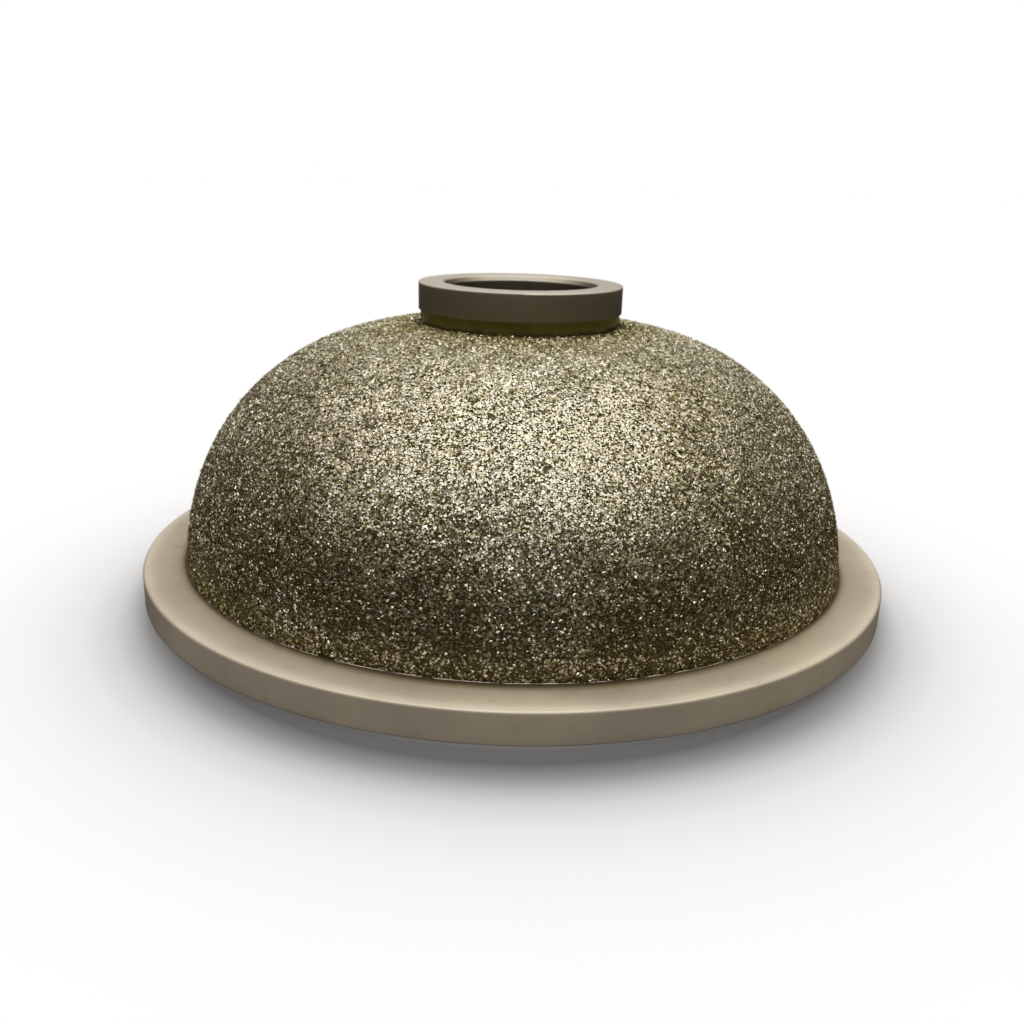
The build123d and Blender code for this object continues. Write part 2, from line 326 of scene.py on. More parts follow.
def closed_grid_faces(rows, columns):
    """Four-sided faces of a grid that closes on itself both ways, outward for a ring whose
    columns run anticlockwise about +Z and whose rows run anticlockwise in the half section."""
    row, column = np.meshgrid(np.arange(rows), np.arange(columns), indexing="ij")
    next_row = (row + 1) % rows
    next_column = (column + 1) % columns
    corners = [
        row * columns + column,
        row * columns + next_column,
        next_row * columns + next_column,
        next_row * columns + column,
    ]
    return np.stack(corners, axis=-1).reshape(-1, 4)


def make_mesh(name, points, faces, smooth=True):
    """A mesh object from arrays of points and of faces that all have the same corner count."""
    points = np.ascontiguousarray(points, dtype=np.float32).reshape(-1, 3)
    corner_count = faces.shape[1]
    mesh = bpy.data.meshes.new(name)
    mesh.vertices.add(len(points))
    mesh.vertices.foreach_set("co", points.ravel())
    mesh.loops.add(faces.size)
    mesh.loops.foreach_set("vertex_index", faces.astype(np.int32).ravel())
    mesh.polygons.add(len(faces))
    starts = np.arange(len(faces), dtype=np.int32) * corner_count
    mesh.polygons.foreach_set("loop_start", starts)
    mesh.polygons.foreach_set("use_smooth", np.full(len(faces), smooth))
    mesh.update(calc_edges=True)
    mesh.validate()
    piece = bpy.data.objects.new(name, mesh)
    bpy.context.scene.collection.objects.link(piece)
    return piece


# Crystals


def crystal_template(sides, base_radius, top_radius):
    """An antiprism with its top facet at height 0: an octahedron's shape with three sides, a
    blocky crystal with four."""
    step = np.arange(sides)
    turn = step * TAU / sides
    half = turn + TAU / (2 * sides)
    base = np.stack([base_radius * np.cos(turn), base_radius * np.sin(turn), 0 * turn - 0.9], 1)
    top = np.stack([top_radius * np.cos(half), top_radius * np.sin(half), 0 * turn], 1)
    after = (step + 1) % sides
    rising = np.stack([step, after, sides + step], axis=1)
    falling = np.stack([after, sides + after, sides + step], axis=1)
    fan = step[1:-1]
    upper = np.stack([0 * fan + sides, sides + fan, sides + fan + 1], axis=1)
    lower = np.stack([fan + 1, fan, 0 * fan], axis=1)
    return np.concatenate([base, top]), np.concatenate([rising, falling, upper, lower])


def crystal_places(curve, grit, draws):
    """Walked lengths, turns and relative sizes of all crystals.

    Rows start a little below the seat. Their steps grow evenly from 1 less the growth to 1 more
    the growth, times the mean step, and the crystals grow with them. Each row holds its
    circumference over the local pitch, and both coordinates are moved by up to the jitter times
    that pitch. The missing share varies from place to place with smooth noise. It grows beside
    the collar, and most on the +X side.
    """
    start = -0.24 * MM
    lowest = -0.28 * MM
    growth = 0.13
    row_step = 0.87 * grit.pitch
    jitter = 0.38
    span = curve.length - start
    share = np.linspace(0, 1, int(span / row_step), endpoint=False)
    rows = start + span * share * (1 - growth + growth * share)
    scale = 1 - growth + 2 * growth * share
    radius, _, _ = curve.at(rows, 0)
    counts = np.round(TAU * radius / (grit.pitch * scale)).astype(int)
    walked = np.repeat(rows, counts)
    scale = np.repeat(scale, counts)
    first = np.repeat(np.cumsum(counts) - counts, counts)
    number = np.arange(counts.sum()) - first
    phase = np.repeat(draws.uniform(0, 1, len(rows)), counts)
    turn = TAU * (number + phase) / np.repeat(counts, counts)
    shift = draws.uniform(-jitter, jitter, (2, len(walked))) * grit.pitch * scale
    walked = np.clip(walked + shift[0], lowest, curve.length)
    turn = turn + shift[1] / np.repeat(radius, counts)
    radius, height, _ = curve.at(walked, 0)
    points = round_points(radius, height, turn)
    patchy = np.clip(lumps(points, 1.1 * MM, grit.seed + 6), 0, 1) ** 2
    right = np.clip(np.cos(turn), 0, 1) ** 2
    collar = np.clip(1 - (curve.length - walked) / ((1.2 + 3.0 * right) * MM), 0, 1)
    share = grit.missing * (1 + 7 * patchy) + (0.6 + 0.5 * right) * collar
    kept = draws.uniform(0, 1, len(walked)) > share
    return walked[kept], turn[kept], scale[kept]


def crystal_frames(angle, turn, tilt, spin):
    """Three unit vectors for each crystal: two along the dome and its own outward normal.

    The dome's normal is leaned by the two tilts along its tangents, and the tangents are made
    square to it again, then spun about it.
    """
    out = np.stack([np.cos(turn), np.sin(turn), 0 * turn], axis=1)
    up = np.array([0, 0, 1.0])
    normal = out * np.cos(angle)[:, None] + up * np.sin(angle)[:, None]
    side = np.stack([-np.sin(turn), np.cos(turn), 0 * turn], axis=1)
    along = np.cross(normal, side)
    normal = normal + side * np.tan(tilt[0])[:, None] + along * np.tan(tilt[1])[:, None]
    normal /= np.linalg.norm(normal, axis=1, keepdims=True)
    first = side * np.cos(spin)[:, None] + along * np.sin(spin)[:, None]
    first -= normal * np.sum(first * normal, axis=1, keepdims=True)
    first /= np.linalg.norm(first, axis=1, keepdims=True)
    return first, np.cross(normal, first), normal


def make_crystals(
    name, template, triangles, centre, frames, size, stretch, flank_shaded, draws, finish
):
    """One piece of many closed crystals.

    Each is the template, with its corners moved a little, scaled, and set in its own frame with
    its top facet at the centre. The flanks come first among a crystal's faces, as many as it has
    corners, and on the flank-shaded crystals they are dark, a painted shade.
    """
    count = len(centre)
    moved = draws.normal(0, 0.10, (count, len(template), 3))
    corners = template + moved * (1, 1, 0.45)
    corners[:, :, 0] *= (size * stretch)[:, None]
    corners[:, :, 1] *= (size / stretch)[:, None]
    corners[:, :, 2] *= size[:, None]
    first, second, normal = frames
    points = (
        centre[:, None, :]
        + corners[:, :, 0:1] * first[:, None, :]
        + corners[:, :, 1:2] * second[:, None, :]
        + corners[:, :, 2:3] * normal[:, None, :]
    )
    faces = triangles[None, :, :] + (np.arange(count) * len(template))[:, None, None]
    piece = make_mesh(name, points, faces.reshape(-1, 3), smooth=False)
    face_finish = np.repeat(finish[:, None], len(triangles), axis=1)
    face_finish[flank_shaded, : len(template)] = DARK
    piece.data.polygons.foreach_set("material_index", face_finish.ravel())
    return piece


# Finishes, with painted light and shade


def new_material(name):
    """An empty node material with a Principled shader and its output."""
    material = bpy.data.materials.new(name)
    material.use_nodes = True
    tree = material.node_tree
    tree.nodes.clear()
    output = tree.nodes.new("ShaderNodeOutputMaterial")
    shader = tree.nodes.new("ShaderNodeBsdfPrincipled")
    tree.links.new(shader.outputs["BSDF"], output.inputs["Surface"])
    return material, tree, shader


def add_node(tree, kind, links=(), **values):
    """A node with values set by input name and sources linked by input name."""
    node = tree.nodes.new(kind)
    for key, value in values.items():
        node.inputs[key].default_value = value
    for key, source in dict(links).items():
        tree.links.new(source, node.inputs[key])
    return node


def plain_metal(name, colour, roughness, grazing=(1, 1, 1)):
    """A metal with the same colour and roughness all over, and a tint at grazing angles."""
    material, _, shader = new_material(name)
    shader.inputs["Specular Tint"].default_value = (*grazing, 1)
    shader.inputs["Base Color"].default_value = (*colour, 1)
    shader.inputs["Metallic"].default_value = 1
    shader.inputs["Roughness"].default_value = roughness
    material.diffuse_color = (*colour, 1)
    return material


def math_node(tree, operation, *operands):
    """A Math node. Each operand is a socket or a number."""
    node = tree.nodes.new("ShaderNodeMath")
    node.operation = operation
    for index, operand in enumerate(operands):
        if isinstance(operand, bpy.types.NodeSocket):
            tree.links.new(operand, node.inputs[index])
        else:
            node.inputs[index].default_value = operand
    return node.outputs[0]


def share_between(tree, value, start, end):
    """How far a value has come from start to end, from 0 to 1."""
    node = add_node(tree, "ShaderNodeMapRange", {"Value": value})
    node.inputs["From Min"].default_value = start
    node.inputs["From Max"].default_value = end
    return node.outputs["Result"]


def ramp(tree, source, stops):
    """A colour ramp through (place, colour) stops."""
    node = tree.nodes.new("ShaderNodeValToRGB")
    elements = node.color_ramp.elements
    for index, (place, colour) in enumerate(stops):
        element = elements[index] if index < len(elements) else elements.new(place)
        element.position = place
        element.color = (*colour, 1)
    tree.links.new(source, node.inputs["Fac"])
    return node.outputs["Color"]


def radial_ramp(tree, radius, span, stops):
    """A colour ramp over a radius, with its stops' places and its span in millimetres."""
    reach = math_node(tree, "MULTIPLY", radius, 1 / (span * MM))
    return ramp(tree, reach, [(place / span, colour) for place, colour in stops])


def object_point(tree):
    """The object's own coordinates, and its separate parts."""
    place = tree.nodes.new("ShaderNodeTexCoord").outputs["Object"]
    split = add_node(tree, "ShaderNodeSeparateXYZ", {"Vector": place})
    return place, split


def turned_point(tree):
    """Coordinates that follow the lathe: radius, angle times two millimetres, and height."""
    _, split = object_point(tree)
    x, y, z = split.outputs
    squares = math_node(tree, "ADD", math_node(tree, "POWER", x, 2), math_node(tree, "POWER", y, 2))
    radius = math_node(tree, "SQRT", squares)
    angle = math_node(tree, "ARCTAN2", y, x)
    turned = tree.nodes.new("ShaderNodeCombineXYZ")
    tree.links.new(radius, turned.inputs["X"])
    tree.links.new(math_node(tree, "MULTIPLY", angle, 2 * MM), turned.inputs["Y"])
    tree.links.new(z, turned.inputs["Z"])
    return turned.outputs["Vector"]


def turned_radius(tree):
    """Distance from the spin axis."""
    turned = add_node(tree, "ShaderNodeSeparateXYZ", {"Vector": turned_point(tree)})
    return turned.outputs["X"]


def noise(tree, vector, scale, detail=3.0, roughness=0.5):
    """A noise texture's value."""
    node = add_node(tree, "ShaderNodeTexNoise", {"Vector": vector}, Scale=scale)
    node.inputs["Detail"].default_value = detail
    node.inputs["Roughness"].default_value = roughness
    return node.outputs["Fac"]


def mix_colour(tree, factor, first, second, blend="MIX"):
    """A colour mix. Each colour is a socket or three numbers."""
    node = tree.nodes.new("ShaderNodeMix")
    node.data_type = "RGBA"
    node.blend_type = blend
    if isinstance(factor, bpy.types.NodeSocket):
        tree.links.new(factor, node.inputs["Factor"])
    else:
        node.inputs["Factor"].default_value = factor
    for key, operand in (("A", first), ("B", second)):
        socket = next(s for s in node.inputs if s.name == key and s.type == "RGBA")
        if isinstance(operand, bpy.types.NodeSocket):
            tree.links.new(operand, socket)
        else:
            socket.default_value = (*operand, 1)
    return next(s for s in node.outputs if s.type == "RGBA")


def add_bumps(tree, shader, *layers):
    """Bumps, one upon another. Each layer is its height socket, strength and depth."""
    normal = {}
    for height, strength, depth in layers:
        links = {"Height": height, **normal}
        bump = add_node(tree, "ShaderNodeBump", links, Strength=strength, Distance=depth)
        normal = {"Normal": bump.outputs["Normal"]}
    tree.links.new(normal["Normal"], shader.inputs["Normal"])


def painted_shader(material):
    """A finished material's node tree, its Principled shader and its base colour's source."""
    tree = material.node_tree
    shader = next(n for n in tree.nodes if n.type == "BSDF_PRINCIPLED")
    return tree, shader, shader.inputs["Base Color"].links[0].from_socket


def collar_finish_and_shade(colour):
    """Turned nickel: a pale matt top face, sides with a painted shade that darkens them
    downwards, and a darker brown bore mouth."""
    material = turned_nickel("collar_nickel", colour, 0.34, 0.6, 0.10)
    tree, shader, tone = painted_shader(material)
    _, split = object_point(tree)
    edge_low = COLLAR_TOP - 0.32 * MM
    edge_high = COLLAR_TOP - 0.14 * MM
    top = share_between(tree, split.outputs["Z"], edge_low, edge_high)
    metallic = math_node(tree, "MULTIPLY_ADD", top, -0.88, 1.0)
    tree.links.new(metallic, shader.inputs["Metallic"])
    # Painted shade: the sides darken from the top face down to the washer.
    side = share_between(tree, split.outputs["Z"], WASHER_TOP, edge_low)
    shade = ramp(tree, side, [(0, (0.74, 0.73, 0.72)), (1, (1.12, 1.1, 1.1))])
    tone = mix_colour(tree, 1.0, tone, shade, "MULTIPLY")
    tone = mix_colour(tree, top, tone, (0.95, 0.90, 0.79))
    # A darker brown over the bore mouth and the bore.
    mouth = share_between(tree, turned_radius(tree), 11.74 * MM, 11.62 * MM)
    tone = mix_colour(tree, mouth, tone, (0.40, 0.37, 0.31))
    tree.links.new(tone, shader.inputs["Base Color"])
    return material


def washer_finish_and_shade(colour):
    """Turned nickel with a painted shade: a dark olive band under the collar's head."""
    material = turned_nickel("washer_steel", colour, 0.42, 0.4, 0.12)
    tree, shader, tone = painted_shader(material)
    _, split = object_point(tree)
    # Painted shade under the collar's head: the top of the washer turns dark olive.
    head_shade_low = WASHER_TOP - 1.35 * MM
    head_shade_high = WASHER_TOP - 0.75 * MM
    band = share_between(tree, split.outputs["Z"], head_shade_low, head_shade_high)
    tone = mix_colour(tree, band, tone, (0.22, 0.19, 0.05))
    tree.links.new(tone, shader.inputs["Base Color"])
    return material


def turned_nickel(name, colour, roughness, brushing, wear):
    """Satin plated metal: fine lathe marks, faint cloudy patches and a few small dull specks."""
    material, tree, shader = new_material(name)
    place, _ = object_point(tree)
    clouds = noise(tree, place, 55, 4, 0.55)
    smudges = noise(tree, place, 210, 3, 0.6)
    marks = noise(tree, turned_point(tree), 5200, 2, 0.5)
    dull = tuple(0.80 * c for c in colour)
    bright = tuple(min(1.06 * c, 1) for c in colour)
    tone = ramp(tree, clouds, [(0.32, dull), (0.68, bright)])
    smudge = ramp(tree, smudges, [(0.60, (1, 1, 1)), (0.74, (1 - wear,) * 3)])
    tone = mix_colour(tree, 1.0, tone, smudge, "MULTIPLY")
    specks = noise(tree, place, 900, 1, 0.4)
    spot = ramp(tree, specks, [(0.76, (1, 1, 1)), (0.80, (1 - 1.6 * wear,) * 3)])
    tone = mix_colour(tree, 1.0, tone, spot, "MULTIPLY")
    tree.links.new(tone, shader.inputs["Base Color"])
    shader.inputs["Metallic"].default_value = 1
    rough = ramp(tree, clouds, [(0.3, (roughness + 0.05,) * 3), (0.7, (roughness - 0.05,) * 3)])
    tree.links.new(rough, shader.inputs["Roughness"])
    add_bumps(tree, shader, (marks, brushing, 0.02 * MM), (specks, 0.25, 0.03 * MM))
    material.diffuse_color = (*colour, 1)
    return material


def satin_flange_light_and_shade(colour):
    """Matt satin nickel: cloudy patches, faint smudges, small dents, and painted light and shade.

    The cove carries a painted shade, dark and broad in front and at the back, and light and
    narrow at the flanks. Towards the outer edge the top carries a painted highlight, and the side
    wall a painted shade. The outer edge is the palest and least metallic.
    """
    material, tree, shader = new_material("flange_nickel")
    place, split = object_point(tree)
    clouds = noise(tree, place, 60, 3, 0.5)
    smudges = noise(tree, place, 260, 4, 0.6)
    grain = noise(tree, place, 9000, 2, 0.5)
    dull = tuple(0.86 * c for c in colour)
    bright = tuple(min(1.05 * c, 1) for c in colour)
    tone = ramp(tree, clouds, [(0.35, dull), (0.65, bright)])
    smudge = ramp(tree, smudges, [(0.58, (1, 1, 1)), (0.72, (0.88, 0.88, 0.86))])
    tone = mix_colour(tree, 1.0, tone, smudge, "MULTIPLY")
    radius = turned_radius(tree)
    span = 60
    # Painted shade in the cove and painted highlight towards the outer edge, in front and at the
    # back, as factors over the radius in millimetres.
    cove = [(51.4, (0.10, 0.08, 0.05)), (51.85, (0.24, 0.21, 0.15)), (52.2, (0.56, 0.53, 0.46))]
    cove += [(52.45, (0.64, 0.61, 0.55)), (52.8, (0.89, 0.88, 0.87)), (54.4, (1, 1, 1))]
    cove += [(56.9, (1.1, 1.12, 1.16)), (57.42, (1.04, 1.06, 1.1)), (57.5, (0.92, 0.91, 0.89))]
    front = radial_ramp(tree, radius, span, cove)
    # The same painted shade and highlight at the flanks, with a narrower and lighter cove.
    cove = [(51.35, (0.10, 0.08, 0.05)), (51.55, (0.34, 0.30, 0.22)), (51.8, (0.66, 0.63, 0.56))]
    cove += [(52.1, (0.86, 0.84, 0.80)), (52.6, (0.99, 0.98, 0.97)), (54.4, (1.06, 1.07, 1.08))]
    cove += [(56.9, (1.12, 1.14, 1.18)), (57.42, (1.06, 1.08, 1.12)), (57.5, (0.93, 0.92, 0.90))]
    flanks = radial_ramp(tree, radius, span, cove)
    # Blend between the two painted shades by the distance from the front-to-back plane.
    aside = math_node(tree, "ABSOLUTE", split.outputs["X"])
    aside = radial_ramp(tree, aside, span, [(12, (0, 0, 0)), (46.8, (1, 1, 1))])
    shade = mix_colour(tree, aside, front, flanks)
    tone = mix_colour(tree, 1.0, tone, shade, "MULTIPLY")
    tree.links.new(tone, shader.inputs["Base Color"])
    # Metallic over the radius, lowest near the outer edge, where it helps the painted highlight.
    metallic_stops = [(54.8, 0.42), (55.7, 0.35), (56.4, 0.17), (56.85, 0.0), (57.2, 0.05), (57.5, 0.42)]
    metallic = radial_ramp(tree, radius, span, [(place, (v, v, v)) for place, v in metallic_stops])
    tree.links.new(metallic, shader.inputs["Metallic"])
    shader.inputs["Roughness"].default_value = 0.40
    dents = noise(tree, place, 700, 1, 0.4)
    add_bumps(tree, shader, (grain, 0.3, 0.01 * MM), (dents, 0.3, 0.04 * MM))
    material.diffuse_color = (*colour, 1)
    return material


def dull_bond(colour):
    """Olive nickel bond: grainy, part matt, with darker and greener patches."""
    material, tree, shader = new_material("dull_bond")
    place, _ = object_point(tree)
    patches = noise(tree, place, 120, 3, 0.6)
    grains = noise(tree, place, 3800, 2, 0.6)
    brown = tuple(0.72 * c for c in colour)
    olive = (0.85 * colour[0], 1.02 * colour[1], 0.62 * colour[2])
    tone = ramp(tree, patches, [(0.35, brown), (0.5, colour), (0.68, olive)])
    shade = ramp(tree, grains, [(0.3, (0.45, 0.45, 0.45)), (0.7, (1.3, 1.3, 1.3))])
    tone = mix_colour(tree, 1.0, tone, shade, "MULTIPLY")
    tree.links.new(tone, shader.inputs["Base Color"])
    shader.inputs["Metallic"].default_value = 0.7
    shader.inputs["Roughness"].default_value = 0.55
    add_bumps(tree, shader, (grains, 0.8, 0.12 * MM))
    material.diffuse_color = (*colour, 1)
    return material


def rubber(name):
    """Black nitrile rubber with a faint grain."""
    material, tree, shader = new_material(name)
    place, _ = object_point(tree)
    grain = noise(tree, place, 1500, 2, 0.5)
    tone = ramp(tree, grain, [(0.3, (0.012, 0.012, 0.012)), (0.7, (0.03, 0.03, 0.03))])
    tree.links.new(tone, shader.inputs["Base Color"])
    shader.inputs["Roughness"].default_value = 0.6
    return material


def give_finish(node_name, material):
    """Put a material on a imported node."""
    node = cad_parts[node_name]
    for slot in node.material_slots:
        slot.material = material


# Operators


class WHEEL_OT_bond(bpy.types.Operator):
    """Make the lumpy nickel bond, a closed shell with a ragged edge at the foot.

    Its outside is the dome's curve, lowered by the bond's depth and raised by smooth noise. Its
    inside is the same curve, lowered by the coat's thickness."""

    bl_idname = "wheel.bond"
    bl_label = "Nickel bond"

    def execute(self, context):
        scene = context.scene
        curve = DomeCurve(scene.wheel_shape)
        grit = scene.wheel_grit
        columns, outer_rows, inner_rows = 580, 148, 12
        turn = np.linspace(0, TAU, columns, endpoint=False)[None, :]
        rim = round_points(np.full((1, columns), curve.shoulder_x + curve.shoulder), 0, turn)
        foot = np.clip(0.10 * MM + 0.16 * MM * lumps(rim, 1.3 * MM, grit.seed + 1), 0.01 * MM, None)
        run = curve.length - BOND_GAP - foot
        walked = foot + np.linspace(0, 1, outer_rows)[:, None] * run
        radius, height, _ = curve.at(walked, 0)
        smooth_points = round_points(radius, height, turn)
        swell = 0.035 * MM * lumps(smooth_points, 1.5 * MM, grit.seed + 2)
        swell += 0.03 * MM * lumps(smooth_points, 0.7 * MM, grit.seed + 3)
        depth = grit.bond_depth - swell
        radius, height, _ = curve.at(walked, depth)
        outer = round_points(radius, height, turn)
        walked = foot + np.linspace(1, 0, inner_rows)[:, None] * run
        radius, height, _ = curve.at(walked, scene.wheel_shape.coat_thickness)
        inner = round_points(radius, height, turn)
        points = np.concatenate([outer, inner])
        faces = closed_grid_faces(len(points), columns)
        bond = make_mesh("nickel_bond", points, faces)
        bond.data.materials.append(dull_bond(tuple(scene.wheel_finish.bond)))
        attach(bond, "root")
        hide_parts("diamond_layer")
        return {"FINISHED"}


def flange_profile():
    """Half section of the flange's outside, from the coat's foot out, down and under.

    The cove is a shallow arc that leaves the flat top and steepens to the lip; the top and foot
    corners are quarter rounds.
    """
    edge = FLANGE_RADIUS
    top = 4.3 * MM
    cove_out, cove_in = 52.4 * MM, 50.92 * MM
    run, rise = cove_out - cove_in, COAT_LOW[2] - top
    cove = (run**2 + rise**2) / (2 * rise)
    sweep = np.linspace(math.asin(run / cove), 0, COVE_POINTS)
    parts = [np.stack([cove_out - cove * np.sin(sweep), top + cove * (1 - np.cos(sweep))], 1)]
    round_radius = 0.38 * MM
    flat = np.linspace(cove_out, edge - round_radius, 14)[1:]
    parts.append(np.stack([flat, np.full_like(flat, top)], 1))
    corner = np.linspace(0, TAU / 4, 12)[1:]
    centre = (edge - round_radius, top - round_radius)
    arc = np.stack([np.sin(corner), np.cos(corner)], 1)
    parts.append(np.array(centre) + round_radius * arc)
    foot_round = 0.14 * MM
    side = np.linspace(top - round_radius, foot_round, 10)[1:]
    parts.append(np.stack([np.full_like(side, edge), side], 1))
    corner = np.linspace(0, TAU / 4, FOOT_POINTS + 1)[1:]
    arc = np.stack([np.cos(corner), -np.sin(corner)], 1)
    parts.append(np.array((edge - foot_round, foot_round)) + foot_round * arc)
    return np.concatenate(parts)


class WHEEL_OT_plating(bpy.types.Operator):
    """Make the flange's nickel plating, a thin skin with round corners, and its finish with painted
    light and shade.

    The flange's half section is moved outward for its outside and inward for its inside, and
    turned about the spin axis. The skin bulges a little in the cove and runs out at the foot."""

    bl_idname = "wheel.plating"
    bl_label = "Flange plating"

    def execute(self, context):
        scene = context.scene
        columns = 900
        profile = flange_profile()
        along = np.gradient(profile, axis=0)
        along /= np.linalg.norm(along, axis=1, keepdims=True)
        normal = np.stack([-along[:, 1], along[:, 0]], 1)
        skin_out, skin_in, bulge = 0.03 * MM, 0.06 * MM, 0.05 * MM
        proud = np.full(len(profile), skin_out)
        proud[:COVE_POINTS] += bulge * np.sin(np.linspace(0.25, 1, COVE_POINTS) * TAU / 2)
        proud[-FOOT_POINTS:] = np.linspace(skin_out, 0, FOOT_POINTS)
        outer = profile + normal * proud[:, None]
        inner = profile - normal * skin_in
        section = np.concatenate([outer[::-1], inner])
        turn = np.linspace(0, TAU, columns, endpoint=False)[None, :]
        points = round_points(section[:, :1], section[:, 1:], turn)
        faces = closed_grid_faces(len(section), columns)
        skin = make_mesh("flange_plating", points, faces)
        skin.data.materials.append(satin_flange_light_and_shade(tuple(scene.wheel_finish.flange)))
        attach(skin, "root")
        return {"FINISHED"}


class WHEEL_OT_rim(bpy.types.Operator):
    """Make the thin broken nickel rim where the coat's plating ends on the flange.

    It is a tube along a circle, with its thickness and height varied by smooth noise."""

    bl_idname = "wheel.rim"
    bl_label = "Nickel rim"

    def execute(self, context):
        scene = context.scene
        seed = scene.wheel_grit.seed
        columns, sides = 2400, 6
        turn = np.linspace(0, TAU, columns, endpoint=False)[None, :]
        foot = 51.22 * MM
        centre = round_points(np.full((1, columns), foot), 0, turn)
        thick_mm = 0.075 + 0.07 * lumps(centre, 1.6 * MM, seed + 12)
        thick_mm += 0.03 * lumps(centre, 0.35 * MM, seed + 13)
        thick = np.clip(thick_mm, 0.006, 0.14) * MM
        lift = 0.03 * MM * lumps(centre, 1.7 * MM, seed + 14)
        around = np.linspace(0, TAU, sides, endpoint=False)[:, None]
        radius = foot + thick * np.cos(around)
        height = COAT_LOW[2] - 0.05 * MM + lift + thick * np.sin(around)
        points = round_points(radius, height, turn)
        rim = make_mesh("nickel_rim", points, closed_grid_faces(sides, columns))
        rim.data.materials.append(plain_metal("rim_nickel", (0.56, 0.52, 0.42), 0.32))
        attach(rim, "root")
        return {"FINISHED"}


class WHEEL_OT_grit(bpy.types.Operator):
    """Set the diamond crystals in the bond, in bands from the foot to the collar.

    Each is an antiprism on the dome's curve, leaned by random tilts and by smooth noise. Dark
    ones are commonest at the foot, where their rise is a painted shade over the lower dome, and
    olive ones beside the collar. Lower down, more crystals have dark flanks, also a painted shade."""

    bl_idname = "wheel.grit"
    bl_label = "Diamond grit"

    def execute(self, context):
        scene = context.scene
        curve = DomeCurve(scene.wheel_shape)
        grit = scene.wheel_grit
        draws = np.random.default_rng(grit.seed)
        walked, turn, scale = crystal_places(curve, grit, draws)
        count = len(walked)
        size = grit.crystal_radius * scale * np.exp(draws.normal(0, 0.20, count))
        stretch = np.exp(draws.normal(0, 0.14, count))
        lean = np.where(draws.uniform(0, 1, count) < 0.09, 3.2, 1)
        tilt = np.clip(draws.normal(0, grit.tilt, (2, count)) * lean, -1, 1)
        spin = draws.uniform(0, TAU, count)
        sunk = draws.uniform(-0.5, 1.0, count) * 0.06 * MM
        radius, height, angle = curve.at(walked, sunk - grit.proud)
        centre = round_points(radius, height, turn)
        for axis in (0, 1):
            sway = lumps(centre, 1.4 * MM, grit.seed + 7 + axis)
            sway += 0.5 * lumps(centre, 5 * MM, grit.seed + 9 + axis)
            tilt[axis] += math.radians(7) * sway
        patches = lumps(centre, 7 * MM, grit.seed + 4) + 0.6 * lumps(centre, 2 * MM, grit.seed + 5)
        below_collar = curve.length - walked
        low = np.clip(1 - walked / (22 * MM), 0, 1)
        high = np.clip(1 - below_collar / (10 * MM), 0, 1)
        pick = draws.uniform(0, 1, count) + 0.15 * patches
        # A few dark crystals are everywhere; the rise of their share towards the foot is painted
        # shade.
        dark_share = 0.03 + 0.60 * low
        finish = (pick > dark_share).astype(int)
        olive_share = 0.10 + 0.70 * high
        finish += pick > dark_share + olive_share
        finish += pick > dark_share + olive_share + 0.25 * (1 - low)
        finish[draws.uniform(0, 1, count) > 0.975] = SPARK
        # Painted shade: dark flanks on a share of the crystals that grows away from the collar.
        flank_shade_share = 0.30 * np.clip((below_collar - 10 * MM) / (15 * MM), 0, 1)
        flank_shaded = draws.uniform(0, 1, count) < flank_shade_share
        chip = round_points(15.7 * MM, 39.6 * MM, math.radians(-44))
        beside = np.linalg.norm(centre - chip, axis=1)
        finish[beside < 0.8 * MM] = DARK
        finish[beside < 0.28 * MM] = SPARK
        base = np.array(scene.wheel_finish.crystal)
        spark = tuple(np.minimum(base * (1.2, 1.2, 1.28), 1))
        finishes = {
            DARK: plain_metal("grit_dark", tuple(base * (0.25, 0.216, 0.128)), 0.48, GRAZING_TINT),
            OLIVE: plain_metal("grit_olive", tuple(base * (0.58, 0.565, 0.36)), 0.36, GRAZING_TINT),
            CHAMPAGNE: plain_metal(
                "grit_champagne", tuple(base * (1.0, 0.965, 0.89)), 0.36, GRAZING_TINT
            ),
            NICKEL: plain_metal("grit_nickel", tuple(base), 0.33, GRAZING_TINT),
            SPARK: plain_metal("grit_spark", spark, 0.12),
        }
        frames = crystal_frames(angle, turn, tilt, spin)
        blocky = draws.uniform(0, 1, count) < 0.15
        order = np.argsort(walked, kind="stable")
        bands = []
        for number, band in enumerate(np.array_split(order[blocky[order]], 2)):
            bands.append((f"blocky_grit_{number + 1}", crystal_template(4, 1.0, 0.92), band))
        for number, band in enumerate(np.array_split(order[~blocky[order]], 6)):
            bands.append((f"octahedral_grit_{number + 1}", crystal_template(3, 1.2, 1.22), band))
        for name, template, band in bands:
            piece = make_crystals(
                name,
                *template,
                centre[band],
                [vectors[band] for vectors in frames],
                size[band],
                stretch[band],
                flank_shaded[band],
                draws,
                finish[band],
            )
            for slot in sorted(finishes):
                piece.data.materials.append(finishes[slot])
            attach(piece, "root")
        return {"FINISHED"}


